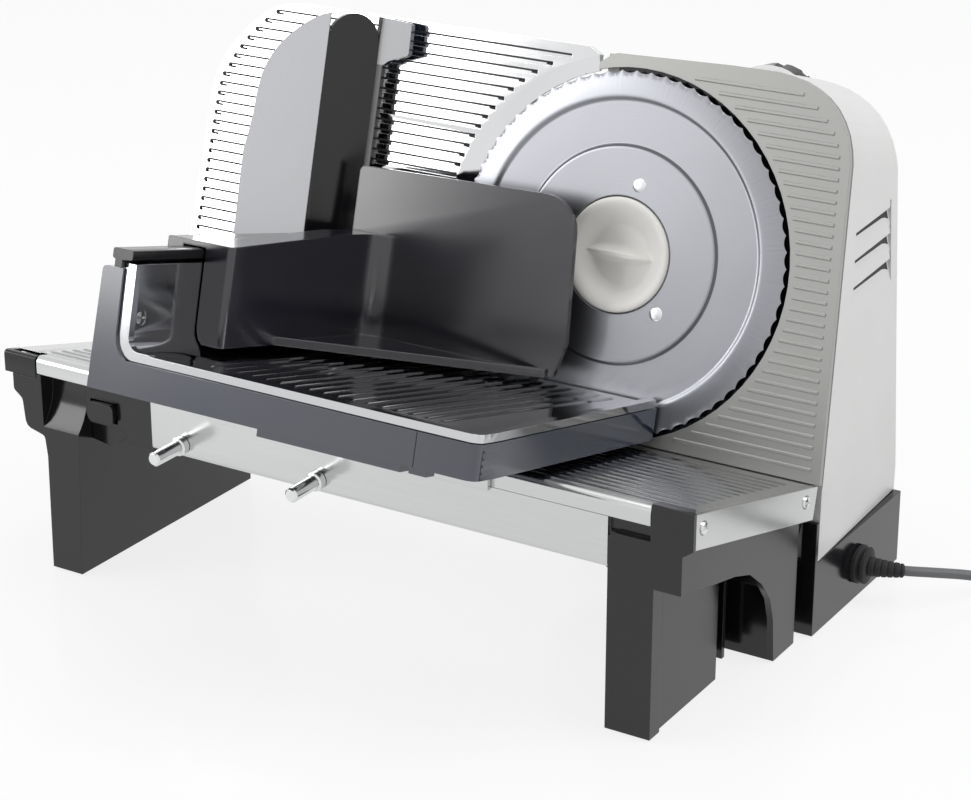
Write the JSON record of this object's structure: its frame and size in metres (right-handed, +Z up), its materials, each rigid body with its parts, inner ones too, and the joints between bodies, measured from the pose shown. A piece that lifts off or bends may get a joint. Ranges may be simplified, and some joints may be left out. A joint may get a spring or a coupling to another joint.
{
  "type": "electric meat slicer",
  "caption": "Electric slicer with a leaning round blade, ribbed sliding carriage, food holder, stop plate with thickness dial, and a wound mains cord.",
  "frame": {"origin": "middle of the machine's footprint, without its cord, on the surface it stands on", "axes": "+X along the carriage's travel, towards the housing; +Y away from the user; +Z up"},
  "size_m": [0.6243, 0.3529, 0.2584],
  "materials": {
    "anodised_tray": "satin",
    "steel_sheet": "satin",
    "polished_steel": "polished",
    "blade_steel": "ground and polished",
    "light_grey_plastic": "satin",
    "cover_grey": "satin",
    "black_plastic": "semi-gloss",
    "charcoal_plastic": "gloss",
    "cream_plastic": "satin",
    "nylon": "matt",
    "cast_aluminium": "as cast",
    "bronze": "turned",
    "motor_steel": "satin",
    "pad_rubber": "matt",
    "cord_grey": "matt"
  },
  "bodies": {
    "machine": {"base_plate": "steel_sheet", "end_strip": "steel_sheet", "front_apron": "steel_sheet", "front_pin_left": "polished_steel", "front_pin_right": "polished_steel", "right_foot": "black_plastic", "foot_pad_front_right": "pad_rubber", "left_foot": "black_plastic", "foot_pad_front_left": "pad_rubber", "base_end_cap": "black_plastic", "switch_block": "black_plastic", "housing_shell": "light_grey_plastic", "lower_shell": "black_plastic", "foot_pad_rear_right": "pad_rubber", "foot_pad_rear_left": "pad_rubber", "cord_grommet": "black_plastic", "power_cord": "cord_grey", "cord_coil": "cord_grey", "cord_tail": "cord_grey", "cord_tie": "black_plastic", "plug_body": "cord_grey", "plug_pin_1": "polished_steel", "plug_pin_2": "polished_steel", "strip_screw_front": "steel_sheet", "strip_screw_rear": "steel_sheet", "cover_plate": "cover_grey", "blade_ring": "black_plastic", "guide_rod_lower": "polished_steel", "guide_rod_upper": "polished_steel", "blade_axle": "polished_steel", "gear_motor": "motor_steel"},
    "carriage": {"carriage_tray": "anodised_tray", "carriage_frame": "charcoal_plastic", "carriage_runner": "steel_sheet", "slide_pad_front": "nylon", "slide_pad_rear": "nylon", "wall_rail": "black_plastic", "wall_screw": "polished_steel", "thumb_guard": "charcoal_plastic"},
    "holder": {"food_holder": "black_plastic", "holder_teeth": "black_plastic"},
    "stop": {"stop_plate": "polished_steel", "stop_carrier": "cast_aluminium"},
    "dial": {"thickness_dial": "black_plastic", "dial_cam": "nylon"},
    "blade": {"blade": "blade_steel", "blade_gear": "nylon", "blade_bearing": "bronze", "blade_rivet_1": "polished_steel", "blade_rivet_2": "polished_steel", "blade_rivet_3": "polished_steel"},
    "knob": {"lock_knob": "cream_plastic"},
    "pinion": {"drive_pinion": "cast_aluminium"},
    "button": {"start_button": "black_plastic"}
  },
  "joints": [
    {"name": "carriage_slide", "type": "slide", "parent": "machine", "child": "carriage", "axis": [1, 0, 0], "range_m": [-0.098, 0.076]},
    {"name": "holder_slide", "type": "slide", "parent": "carriage", "child": "holder", "axis": [0, 0.9659, -0.2588], "range_m": [-0.037, 0]},
    {"name": "stop_slide", "type": "slide", "parent": "machine", "child": "stop", "axis": [0, 0.9659, -0.2588], "range_m": [0, 0.015]},
    {"name": "dial_turn", "type": "hinge", "parent": "machine", "child": "dial", "pos_m": [0.10677, 0.133, 0.215], "axis": [0, 1, 0], "range_deg": [0, 270]},
    {"name": "blade_spin", "type": "hinge", "parent": "machine", "child": "blade", "pos_m": [0.06777, 0.056, 0.161], "axis": [0, 0.9659, -0.2588], "continuous": true},
    {"name": "pinion_spin", "type": "hinge", "parent": "machine", "child": "pinion", "pos_m": [0.11627, 0.04875, 0.13395], "axis": [0, 0.9659, -0.2588], "continuous": true},
    {"name": "knob_turn", "type": "hinge", "parent": "blade", "child": "knob", "pos_m": [0.06777, 0.056, 0.161], "axis": [0, 0.9659, -0.2588], "range_deg": [0, 90]},
    {"name": "button_press", "type": "slide", "parent": "machine", "child": "button", "axis": [0, 1, 0], "range_m": [0, 0.003], "stiffness_N_per_m": 400, "springref_m": -0.001}
  ],
  "couplings": [
    {"joint": "dial_turn", "follows": "stop_slide", "rad_per_m": 314.16},
    {"joint": "pinion_spin", "follows": "blade_spin", "ratio": -3}
  ]
}
